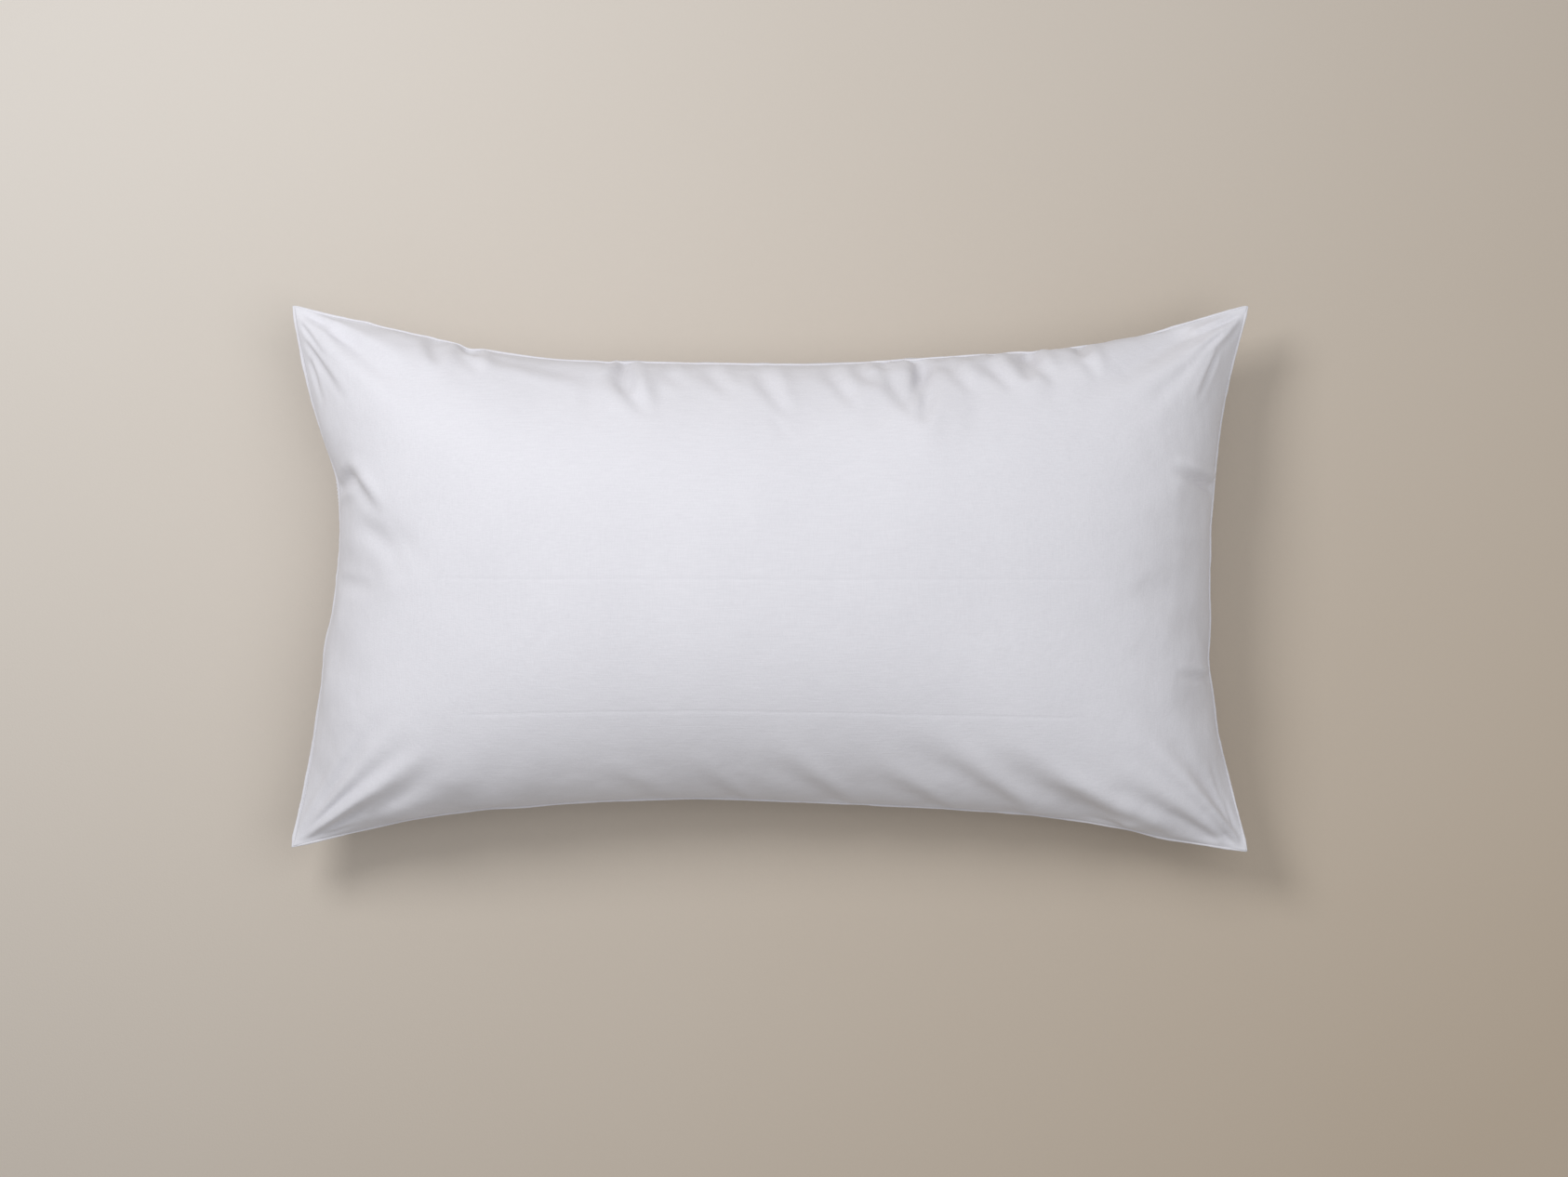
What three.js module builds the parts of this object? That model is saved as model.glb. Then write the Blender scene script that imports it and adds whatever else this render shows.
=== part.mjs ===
// A filled bed pillow: a cotton pillowcase with a tuck-in flap, drawn over a fibre-filled
// pillow with a corded edge. Millimetres, +Z up, resting on z = 0, centred on X and Y.
// +X points to the sewn end, -X to the open end, +Y to the head side.
import * as THREE from 'three';
import { mergeVertices } from 'three/addons/utils/BufferGeometryUtils.js';

// Plan: the filled pillow is longest and widest at its four corner points.
const HALF_LENGTH_AT_CORNER = 438;
const HALF_LENGTH_AT_WAIST = 402;
const HALF_WIDTH_AT_CORNER = 250;
const HALF_WIDTH_AT_WAIST = 202;
const EDGE_CURVE = 2.4; // power that turns the straight waist into the corner flare

// Height: the seam line droops to the corners, and the cloth swells above and below it.
const SEAM_HEIGHT = 78;
const CORNER_DROOP = 26;
const SWELL = 124;
const LENGTH_PROFILE = 3.2;
const WIDTH_PROFILE = 2.0;
const PROFILE_ROUNDING = 0.56;

// Layers, as depths counted inwards from the outer skin: outer face, inner face.
const CLOTH = 1.2;
const CLEARANCE = 0.4;
const SEAM_BEAD = 2.4;
const SEAM_STEP = SEAM_BEAD + CLEARANCE;
const RIM_SPLIT = 0.4; // height between an upper and a lower panel where they meet

const DEPTH = {
  hemThread: [-1.2, -0.7],
  caseCloth: [0, CLOTH],
  caseLabel: [1.7, 2.3],
  flap: [1.6, 2.8],
  flapThread: [3.2, 3.7],
  insertLabel: [4.2, 4.8],
  closingThread: [4.3, 4.8],
  insertCloth: [5.2, 6.4],
  fill: 6.8,
};
const INSERT_SHORTFALL = 9.2; // how far the insert stops short of the case in plan
const PIPING_RADIUS = 1.5;
const PIPING_INSET = SEAM_STEP + DEPTH.insertCloth[0] + INSERT_SHORTFALL - PIPING_RADIUS - CLEARANCE;

// Every layer has its facets on the same grid, so nested layers never cross.
const CELLS_LONG = 24;
const CELLS_WIDE = 14;
const HEM_LINE = 3;
const FLAP_CELLS = 7;
const THREAD_WIDTH_IN_CELLS = 0.1;
const THREAD_TO_LINE_IN_CELLS = 0.02;

const COLOURS = {
  caseCotton: { color: 0xe9e9ee, roughness: 0.85 },
  caseThread: { color: 0xf2f2f4, roughness: 0.7 },
  insertTicking: { color: 0xf4f3ef, roughness: 0.9 },
  labelTape: { color: 0xf6f6f6, roughness: 0.6 },
  fibre: { color: 0xf7f7f5, roughness: 1.0 },
};

function cloth(colour) {
  return new THREE.MeshStandardMaterial({ ...colour, metalness: 0 });
}

const materials = {
  caseCotton: cloth(COLOURS.caseCotton),
  caseThread: cloth(COLOURS.caseThread),
  insertTicking: cloth(COLOURS.insertTicking),
  labelTape: cloth(COLOURS.labelTape),
  fibre: cloth(COLOURS.fibre),
};

// --- the pillow's form -------------------------------------------------------------------

// Grid lines crowd towards the edges, where the cloth turns down steeply.
function station(line, cells) {
  return Math.sin((Math.PI / 2) * ((2 * line) / cells - 1));
}

function flare(waist, corner, along) {
  return waist + (corner - waist) * Math.abs(along) ** EDGE_CURVE;
}

function seamHeight(x, y) {
  return SEAM_HEIGHT - CORNER_DROOP * ((x / HALF_LENGTH_AT_CORNER) * (y / HALF_WIDTH_AT_CORNER)) ** 2;
}

function swell(s, t) {
  const along = (1 - Math.abs(s) ** LENGTH_PROFILE) ** PROFILE_ROUNDING;
  const across = (1 - Math.abs(t) ** WIDTH_PROFILE) ** PROFILE_ROUNDING;
  return along * across;
}

function planPoint(s, t, inset) {
  return {
    x: s * (flare(HALF_LENGTH_AT_WAIST, HALF_LENGTH_AT_CORNER, t) - inset),
    y: t * (flare(HALF_WIDTH_AT_WAIST, HALF_WIDTH_AT_CORNER, s) - inset),
  };
}

// One grid node of a layer; face is +1 above the seam line and -1 below it.
function node(i, j, layer, face) {
  const s = station(i, CELLS_LONG);
  const t = station(j, CELLS_WIDE);
  const { x, y } = planPoint(s, t, layer.inset);
  const rise = RIM_SPLIT / 2 + (SWELL - layer.depth) * swell(s, t);
  const z = seamHeight(x, y) + face * rise;
  return new THREE.Vector3(x, y, face > 0 ? z : Math.max(z, layer.depth));
}

// A place between grid lines lies on the flat facet between its four nodes.
function onLayer(i, j, layer, face) {
  const i0 = Math.min(Math.floor(i), CELLS_LONG - 1);
  const j0 = Math.min(Math.floor(j), CELLS_WIDE - 1);
  const near = node(i0, j0, layer, face).lerp(node(i0 + 1, j0, layer, face), i - i0);
  const far = node(i0, j0 + 1, layer, face).lerp(node(i0 + 1, j0 + 1, layer, face), i - i0);
  return near.lerp(far, j - j0);
}

function caseLayer(depth) {
  return { inset: SEAM_STEP + depth, depth };
}

function insertLayer(depth) {
  return { inset: SEAM_STEP + depth + INSERT_SHORTFALL, depth };
}

// --- solids --------------------------------------------------------------------------------

// The border of a grid of nodes, counter-clockwise seen from above.
function borderOf(nx, ny) {
  const loop = [];
  for (let i = 0; i < nx; i += 1) loop.push([i, 0]);
  for (let j = 0; j < ny; j += 1) loop.push([nx, j]);
  for (let i = nx; i > 0; i -= 1) loop.push([i, ny]);
  for (let j = ny; j > 0; j -= 1) loop.push([0, j]);
  return loop;
}

// A closed slab of nx by ny cells; place(u, v, top) gives each corner of its two faces.
function slab(nx, ny, place) {
  const positions = [];
  for (const top of [false, true]) {
    for (let j = 0; j <= ny; j += 1) {
      for (let i = 0; i <= nx; i += 1) positions.push(...place(i / nx, j / ny, top).toArray());
    }
  }
  const lower = (i, j) => j * (nx + 1) + i;
  const upper = (i, j) => lower(i, j) + (nx + 1) * (ny + 1);
  const index = [];
  for (let i = 0; i < nx; i += 1) {
    for (let j = 0; j < ny; j += 1) {
      index.push(upper(i, j), upper(i + 1, j), upper(i + 1, j + 1));
      index.push(upper(i, j), upper(i + 1, j + 1), upper(i, j + 1));
      index.push(lower(i, j), lower(i + 1, j + 1), lower(i + 1, j));
      index.push(lower(i, j), lower(i, j + 1), lower(i + 1, j + 1));
    }
  }
  const border = borderOf(nx, ny);
  border.forEach((here, k) => {
    const next = border[(k + 1) % border.length];
    index.push(lower(...here), lower(...next), upper(...next));
    index.push(lower(...here), upper(...next), upper(...here));
  });
  const geometry = new THREE.BufferGeometry();
  geometry.setAttribute('position', new THREE.Float32BufferAttribute(positions, 3));
  geometry.setIndex(index);
  return geometry;
}

// A layer of cloth over part of the grid: face +1 is an upper piece, -1 a lower one.
function clothPiece({ layerAt, depths, face, lines = [0, CELLS_LONG], rows = [0, CELLS_WIDE] }) {
  const [outer, inner] = depths;
  const nx = Math.max(1, Math.round(lines[1] - lines[0]));
  const ny = Math.max(1, Math.round(rows[1] - rows[0]));
  return slab(nx, ny, (u, v, top) => {
    const isOuter = top === face > 0;
    const layer = layerAt(isOuter ? outer : inner);
    const i = THREE.MathUtils.lerp(lines[0], lines[1], u);
    const j = THREE.MathUtils.lerp(rows[0], rows[1], v);
    return onLayer(i, j, layer, face);
  });
}

// A row of stitches runs just inside a grid line.
function threadLines(line) {
  const near = line - THREAD_TO_LINE_IN_CELLS;
  return [near - THREAD_WIDTH_IN_CELLS, near];
}

// The fill is one body between the upper and lower cloth.
function fillBody() {
  const layer = insertLayer(DEPTH.fill);
  return slab(CELLS_LONG, CELLS_WIDE, (u, v, top) => (
    node(Math.round(u * CELLS_LONG), Math.round(v * CELLS_WIDE), layer, top ? 1 : -1)
  ));
}

function beadPoint(i, j, inset, height) {
  const { x, y } = planPoint(station(i, CELLS_LONG), station(j, CELLS_WIDE), inset);
  return new THREE.Vector3(x, y, seamHeight(x, y) + height);
}

// A turned seam along one long edge, row 0 (foot side) or row CELLS_WIDE (head side).
function longSeam(row) {
  const outwardFirst = row === 0;
  return slab(CELLS_LONG, 1, (u, v, top) => {
    const inset = SEAM_BEAD * (outwardFirst ? v : 1 - v);
    return beadPoint(Math.round(u * CELLS_LONG), row, inset, (top ? 0.5 : -0.5) * SEAM_BEAD);
  });
}

// A turned edge across one end, line 0 (open) or line CELLS_LONG (sewn), a little short of
// both long seams.
function endEdge(line) {
  const cut = 0.1;
  const outwardFirst = line === 0;
  return slab(1, CELLS_WIDE, (u, v, top) => {
    const inset = SEAM_BEAD * (outwardFirst ? u : 1 - u);
    const height = (top ? 0.5 : -0.5) * SEAM_BEAD;
    const row = Math.round(v * CELLS_WIDE);
    const point = beadPoint(line, row, inset, height);
    if (row === 0) point.lerp(beadPoint(line, 1, inset, height), cut);
    if (row === CELLS_WIDE) point.lerp(beadPoint(line, row - 1, inset, height), cut);
    return point;
  });
}

// Cord piping sewn all round the insert: a ring whose section swings about the outline.
function pipingRing() {
  const border = borderOf(CELLS_LONG, CELLS_WIDE);
  const ring = new THREE.TorusGeometry(2, 1, 6, border.length);
  const uv = ring.getAttribute('uv');
  const position = ring.getAttribute('position');
  for (let k = 0; k < position.count; k += 1) {
    const [i, j] = border[Math.round(uv.getX(k) * border.length) % border.length];
    const turn = uv.getY(k) * 2 * Math.PI;
    const inset = PIPING_INSET - PIPING_RADIUS * Math.cos(turn);
    const point = beadPoint(i, j, inset, PIPING_RADIUS * Math.sin(turn));
    position.setXYZ(k, point.x, point.y, point.z);
  }
  ring.deleteAttribute('normal');
  ring.deleteAttribute('uv');
  return mergeVertices(ring);
}

// --- the pieces ----------------------------------------------------------------------------

const pillow = new THREE.Group();

function add(name, geometry, material) {
  geometry.computeVertexNormals();
  const mesh = new THREE.Mesh(geometry, material);
  mesh.name = name;
  pillow.add(mesh);
}

function addCase() {
  const { caseCotton, caseThread, labelTape } = materials;
  const cover = { layerAt: caseLayer, depths: DEPTH.caseCloth };
  add('case_front_panel', clothPiece({ ...cover, face: 1 }), caseCotton);
  add('case_back_panel', clothPiece({ ...cover, face: -1 }), caseCotton);

  // The front's flap tucks in behind the back panel, whose open edge is a rolled hem.
  const flap = { layerAt: caseLayer, depths: DEPTH.flap, face: -1, lines: [0, FLAP_CELLS] };
  add('case_tuck_flap', clothPiece(flap), caseCotton);
  add('case_open_hem', endEdge(0), caseCotton);

  const hemThread = {
    layerAt: caseLayer,
    depths: DEPTH.hemThread,
    face: -1,
    lines: threadLines(HEM_LINE),
    rows: [1, CELLS_WIDE - 1],
  };
  add('case_hem_stitching', clothPiece(hemThread), caseThread);
  const flapThread = {
    layerAt: caseLayer,
    depths: DEPTH.flapThread,
    face: -1,
    lines: threadLines(FLAP_CELLS),
    rows: [2, CELLS_WIDE - 2],
  };
  add('case_flap_stitching', clothPiece(flapThread), caseThread);

  add('case_seam_head', longSeam(CELLS_WIDE), caseThread);
  add('case_seam_foot', longSeam(0), caseThread);
  add('case_seam_closed_end', endEdge(CELLS_LONG), caseThread);

  const label = { layerAt: caseLayer, depths: DEPTH.caseLabel, face: 1, lines: [5, 6], rows: [0, 3] };
  add('case_care_label', clothPiece(label), labelTape);
}

function addInsert() {
  const { insertTicking, caseThread, labelTape, fibre } = materials;
  const cover = { layerAt: insertLayer, depths: DEPTH.insertCloth };
  add('insert_top_panel', clothPiece({ ...cover, face: 1 }), insertTicking);
  add('insert_bottom_panel', clothPiece({ ...cover, face: -1 }), insertTicking);
  add('insert_piping', pipingRing(), insertTicking);
  const closing = {
    layerAt: insertLayer,
    depths: DEPTH.closingThread,
    face: -1,
    lines: threadLines(CELLS_LONG - 1),
    rows: [4, CELLS_WIDE - 4],
  };
  add('insert_closing_stitching', clothPiece(closing), caseThread);
  const label = {
    layerAt: insertLayer,
    depths: DEPTH.insertLabel,
    face: 1,
    lines: [17, 18],
    rows: [1, 3],
  };
  add('insert_care_label', clothPiece(label), labelTape);
  add('fibre_fill', fillBody(), fibre);
}

addCase();
addInsert();

export default pillow;
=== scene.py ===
import math

import bpy
import numpy as np
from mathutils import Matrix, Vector


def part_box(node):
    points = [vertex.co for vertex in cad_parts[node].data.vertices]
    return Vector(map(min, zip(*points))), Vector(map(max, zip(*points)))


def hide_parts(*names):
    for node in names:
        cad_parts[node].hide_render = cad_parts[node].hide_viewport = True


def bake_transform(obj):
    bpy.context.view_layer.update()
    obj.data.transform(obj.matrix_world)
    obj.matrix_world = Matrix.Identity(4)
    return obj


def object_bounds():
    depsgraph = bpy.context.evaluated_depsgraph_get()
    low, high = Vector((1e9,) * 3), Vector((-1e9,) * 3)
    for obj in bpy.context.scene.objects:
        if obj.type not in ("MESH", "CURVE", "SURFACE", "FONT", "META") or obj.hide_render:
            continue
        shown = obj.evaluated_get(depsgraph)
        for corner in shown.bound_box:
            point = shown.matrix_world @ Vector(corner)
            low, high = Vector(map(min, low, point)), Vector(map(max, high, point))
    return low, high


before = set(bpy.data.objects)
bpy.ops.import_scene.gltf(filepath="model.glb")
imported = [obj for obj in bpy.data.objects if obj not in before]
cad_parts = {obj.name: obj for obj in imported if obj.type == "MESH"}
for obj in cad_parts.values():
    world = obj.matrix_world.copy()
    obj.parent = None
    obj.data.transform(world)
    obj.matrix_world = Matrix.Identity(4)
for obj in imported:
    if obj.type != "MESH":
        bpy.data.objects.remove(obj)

CAD_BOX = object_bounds()

# ---- Driving dimensions, in metres

CUT_LENGTH = 0.90
CUT_WIDTH = 0.515
LOFT = 0.24  # thickness the fill would take up if nothing held it
CLOTH = 0.0005
PANEL_GAP = CLOTH * 1.2  # how far each panel's outer face lies from the middle of a seam
SEAM_WIDTH, SEAM_THICKNESS, SEAM_PROUD = 0.0028, 0.0020, 0.0001
HEM_DEPTH = 0.026
HEM_EDGE_WIDTH = 0.004
HEM_EDGE_FLATNESS = 0.8  # its half height, as a share of a seam's
FLAP_DEPTH = 0.19
INSERT_SHORTFALL = 0.023
INSERT_CUT = (CUT_LENGTH - 2 * INSERT_SHORTFALL, CUT_WIDTH - 2 * INSERT_SHORTFALL)
STITCH_PITCH, STITCH_LENGTH, STITCH_RADIUS = 0.0034, 0.0026, 0.0003
# One stitch from end to end: place, height and thickness, as shares of its length and radius.
STITCH_STEPS = np.array([0, 0.12, 0.35, 0.65, 0.88, 1])
STITCH_ARCH = np.array([-0.6, 0.2, 0.9, 0.9, 0.2, -0.6])
STITCH_BODY = np.array([0.45, 0.85, 1, 1, 0.85, 0.45])
FLAP_STITCH_LIFT = 2.5  # radii above the flap
CLOSING_ROW = -3  # the grid row of the insert's closing stitches

INSERT_CLEARANCE, INSERT_GAP, INSERT_EDGE = 0.006, 0.0003, 0.03
INSERT_PLAN = (0.975, 0.95)  # the insert's plan is drawn in by this much, to clear the walls
INSERT_LEAST = 0.0018  # half its thickness where the case leaves it no room
ROOM_PASSES = (6, 24)  # that lower, then smooth, the room inside the case
INSERT_CELLS = (104, 60)
CORNER_ROUNDING = 0.16
PIPING_RADIUS = 0.0018
FILL_IN = 0.004
FILL_LUMPS, FILL_LUMP_SIZE = 0.0012, 0.05
FILL_LUMPS_RISE = (0.004, 0.03)  # thin and thick enough for none and for full lumps
FILL_GAP = 0.0009
FILL_LEAST = 0.0003
LABEL_SIZE = (0.05, 0.055)
LABEL_THICKNESS = CLOTH * 0.6
LABEL_CELLS = (16, 18)
LABEL_LIFT = 0.0013
LABEL_CURL = 0.0004
LABEL_IN = 0.035  # from the foot seam, as a share of the half width
CASE_LABEL_LAYER = 0.0014
MIDDLE_GAP = 0.0002
HEM_LAYER = 0.0013
FLAP_LAYER = 0.0014
FOLD_RADIUS = 0.0008
EDGE_STATIONS = 420

CASE_CELLS = (286, 162)
EDGE_GRADING = 0.28
IRONED = (0.0, -0.47)  # across the panel, from -1 to 1
IRONED_REACH = (0.70, 0.66)
CREASE_WIDTH = 0.004
CREASE_DEPTH = 0.0002
CREASE_FADE = 0.08
CRINKLE = 0.00012
CRINKLE_SIZE, FINE_CRINKLE_SIZE, FINE_CRINKLE_SHARE = 0.035, 0.016, 0.4
# Its share in the middle, where it rises, and where it ends, from the middle to the seams.
CRINKLE_MIDDLE, CRINKLE_RISE, CRINKLE_END = 0.2, (0.55, 0.9), (0.96, 1.0)
CRINKLE_CELLS = (288, 168)
FOLD_FROM_RIM = 0.010
# How much of each fold is pressed again: the head's are partly in the bag already.
FOLD_SHARE, CALMED_SHARE = 0.75, 1.05
CALMING = 50
CALM_ENDS, CALM_FOOT = (0.72, 0.88), (0.45, 0.80)  # where the calming starts and is full
OUTLINE_ROUNDING, WAVE_LENGTH = 16, 70  # smoothing passes
SIDE_EASE, END_EASE, INSET_EASE = 2.5, 6, 24  # how fast a shift of the edge fades inwards

HALF_LENGTH, HALF_WIDTH, TOP = CAD_BOX[1]

# Where the pieces of the open end lie on the flat panels, from -1 to 1 along and across.
HEM_START, FLAP_START = -0.996, -0.986
HEM_PLACES = (
    np.linspace(HEM_START, HEM_START + 2 * HEM_DEPTH / CUT_LENGTH, 14),
    np.linspace(-0.975, 0.975, 160),
)
HEM_STITCH_PLACES = (np.array([-0.955, -0.950, -0.945]), np.linspace(-0.93, 0.93, 400))
FLAP_PLACES = (
    np.linspace(FLAP_START, FLAP_START + 2 * FLAP_DEPTH / CUT_LENGTH, 60),
    np.linspace(-0.94, 0.94, 120),
)

CAMERA = (0.0132, -0.0098, 3.0)
LENS = 73.45
KEY_PLACE, KEY_SIZE, KEY_ENERGY = (-0.86, 0.80, 1.6), 0.8, 17.5
FILL_PLACE, FILL_SIZE, FILL_ENERGY = (0.75, 0.15, 2.1), 1.8, 12.5
LIT_PLACE = (0, 0, 0.05)
SKY, SKY_STRENGTH = (1.0, 0.995, 0.99), 0.38
FLOOR_HALF = 4.0
FLOOR_SHADE_SLOPE = 0.42  # how fast its painted shade changes across it
# Painted light and shade on the floor: lighter and cooler to the upper left, darker and warmer to
# the lower right, standing in for the light's falloff.
FLOOR_PAINTED_LIGHT, FLOOR_PAINTED_SHADE = (0.66, 0.62, 0.575), (0.505, 0.425, 0.338)
COTTON_DARK, COTTON_LIGHT = (0.705, 0.702, 0.752), (0.77, 0.767, 0.818)

# The bag's grid: cells along and across on the first level, doubled on each one after it.
FIRST_CELLS = (36, 21)
# One row per level: steps, swelling per step, bending, relaxing passes.
LEVELS = (
    (600, 2.0e-4, 0.020, 2),
    (300, 0.7e-4, 0.010, 3),
    (180, 0.25e-4, 0.003, 4),
    (90, 0.09e-4, 0.002, 4),
)
PUCKER_LEVEL = 2
FOLD_LEVEL = 2
GATHER_LONG, GATHER_END = 0.008, 0.0  # how much shorter the sewn edges are than the cloth
GATHERED_BY_LEVEL = (0.2, 0.5, 1.0, 1.0)
GATHER_SPREAD = 0.012
SHEAR_STIFFNESS = 0.5
SLACK_PUSH = 0.35
DAMPING, WEIGHT, FLOOR_SLIP = 0.96, 0.06, 0.3
MOST_SUCTION = -0.2  # how hard the fill pulls back cloth that is past its loft
LOFT_END_POWER, LOFT_SIDE_POWER, LOFT_ROUNDING = 4.0, 2.6, 0.6
EMPTY_TIP = (0.01, 0.11)  # the fill begins, and is full, this far from a corner tip
START_HEIGHT, START_BULGE, START_NOISE = 0.09, 0.01, 0.001
# First waves along the seams: size along and across the pillow, seed, height.
SIDE_PUCKERS = (0.042, 0.15, 11, 0.0015)
END_PUCKERS = (0.15, 0.045, 21, 0.0003)
PUCKER_REACH, PUCKER_START = 0.034, 0.01
NOISE_SPREAD = 0.35  # how far random waves may be from the length asked for, as a share of it
FOLD_FADE, BANK_SHARE, BANK_PLACE = 0.6, 0.45, 1.9
BACK_SHARE = 0.8
TIP_SLOPE = 1.25  # steepness of the line on which each corner's rays are centred
ROLL_TIP, ROLL_TIP_SHARE, ROLL_UNEVEN, ROLL_WAVE = 0.55, 0.02, 0.25, 9

# Places where the sewn edges are puckered more: distance from the middle, spare cloth.
HEAD_GATHERS = (
    (-0.283, 0.0025), (-0.140, 0.0045), (-0.060, 0.0025), (-0.005, 0.0035), (0.060, 0.0025),
    (0.110, 0.005), (0.135, 0.003), (0.172, 0.003), (0.208, 0.003), (0.250, 0.003),
    (0.290, 0.0025),
)
OPEN_GATHERS = ((0.092, 0.002),)
CLOSED_GATHERS = ((0.100, 0.0025), (-0.080, 0.002))

# Folds of the front panel: from x, y to x, y, width at each end, height, lean of its banks.
# Those of the foot start outside the seam, so that they run into it.
HEAD_FOLDS = (
    (-0.284, 0.214, -0.258, 0.182, 0.008, 0.005, -0.005, 0.5),
    (-0.268, 0.206, -0.132, 0.174, 0.006, 0.007, -0.0026, -0.8),
    (-0.142, 0.190, -0.107, 0.142, 0.010, 0.004, -0.0056, 0.6),
    (-0.098, 0.192, -0.075, 0.168, 0.007, 0.004, -0.0024, 0.5),
    (-0.062, 0.192, -0.030, 0.160, 0.008, 0.004, -0.0028, 0.5),
    (-0.012, 0.190, 0.018, 0.140, 0.009, 0.004, -0.0042, 0.5),
    (0.002, 0.146, 0.018, 0.120, 0.004, 0.003, -0.0012, 0.4),
    (0.050, 0.192, 0.080, 0.148, 0.008, 0.004, -0.0034, 0.5),
    (0.076, 0.192, 0.104, 0.168, 0.007, 0.004, -0.0028, 0.5),
    (0.104, 0.192, 0.130, 0.138, 0.011, 0.004, -0.006, 0.6),
    (0.142, 0.196, 0.122, 0.148, 0.007, 0.004, -0.0036, 0.6),
    (0.160, 0.198, 0.184, 0.162, 0.008, 0.004, -0.0036, 0.5),
    (0.194, 0.200, 0.218, 0.166, 0.008, 0.004, -0.004, 0.5),
    (0.232, 0.204, 0.258, 0.172, 0.008, 0.004, -0.004, 0.5),
    (0.276, 0.206, 0.298, 0.178, 0.008, 0.004, -0.0032, 0.5),
    (0.120, 0.190, 0.036, 0.124, 0.005, 0.007, 0.0012, 0.0),
    (0.150, 0.176, 0.080, 0.112, 0.005, 0.007, 0.001, 0.0),
)
FOOT_FOLDS = (
    (0.322, -0.230, 0.190, -0.162, 0.007, 0.014, -0.0038, -0.5),
    (0.365, -0.238, 0.238, -0.188, 0.005, 0.010, -0.0024, -0.5),
    (0.233, -0.216, 0.116, -0.146, 0.006, 0.014, -0.0034, -0.4),
    (0.170, -0.219, 0.078, -0.172, 0.005, 0.010, -0.0024, -0.4),
    (0.080, -0.218, -0.010, -0.158, 0.006, 0.012, -0.0028, -0.3),
    (-0.012, -0.216, -0.078, -0.170, 0.005, 0.009, -0.0018, -0.4),
    (-0.084, -0.213, -0.158, -0.176, 0.006, 0.010, -0.0014, -0.4),
)
# The last two are faint creases in the middle of the panel.
END_FOLDS = (
    (-0.402, 0.076, -0.364, 0.098, 0.005, 0.006, -0.0028, -0.6),
    (-0.386, 0.099, -0.346, 0.052, 0.006, 0.005, -0.0034, 0.7),
    (-0.368, 0.052, -0.326, 0.012, 0.008, 0.007, -0.0016, 0.4),
    (-0.392, -0.004, -0.350, -0.012, 0.006, 0.006, -0.0014, 0.4),
    (0.408, 0.081, 0.360, 0.098, 0.0055, 0.0045, -0.0048, -0.5),
    (0.404, -0.093, 0.364, -0.087, 0.004, 0.004, -0.003, -0.4),
    (0.404, 0.022, 0.350, 0.030, 0.007, 0.006, -0.0008, 0.0),
    (-0.194, -0.042, -0.206, -0.066, 0.004, 0.004, -0.0005, 0.0),
    (0.203, -0.044, 0.217, -0.068, 0.004, 0.004, -0.0005, 0.0),
)

# The sewn outline seen from above, corner to corner.
HEAD_LINE = (
    (-0.436, 0.248), (-0.395, 0.238), (-0.330, 0.224), (-0.262, 0.207), (-0.194, 0.198),
    (-0.092, 0.196), (0.045, 0.194), (0.113, 0.198), (0.181, 0.203), (0.249, 0.206),
    (0.317, 0.216), (0.351, 0.222), (0.386, 0.235), (0.437, 0.249),
)
FOOT_LINE = (
    (-0.437, -0.246), (-0.364, -0.228), (-0.296, -0.215), (-0.228, -0.209), (-0.160, -0.204),
    (-0.058, -0.201), (0.113, -0.208), (0.215, -0.214), (0.283, -0.221), (0.351, -0.236),
    (0.437, -0.250),
)
OPEN_LINE = (
    (-0.246, -0.437), (-0.165, -0.420), (-0.114, -0.413), (-0.063, -0.407), (-0.030, -0.402),
    (-0.006, -0.395), (0.040, -0.393), (0.091, -0.395), (0.115, -0.404), (0.142, -0.414),
    (0.193, -0.427), (0.248, -0.436),
)
CLOSED_LINE = (
    (-0.250, 0.437), (-0.216, 0.429), (-0.165, 0.415), (-0.114, 0.406), (-0.095, 0.403),
    (0.040, 0.403), (0.091, 0.408), (0.142, 0.412), (0.193, 0.422), (0.249, 0.437),
)
# How far the front's folded edge lies inside the back's hem, along the open end.
FOLD_INSET = (
    (-0.248, 0.0015), (-0.220, 0.0035), (-0.120, 0.006), (-0.050, 0.0035), (-0.010, 0.0012),
    (0.120, 0.0012), (0.190, 0.0028), (0.248, 0.0015),
)
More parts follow.
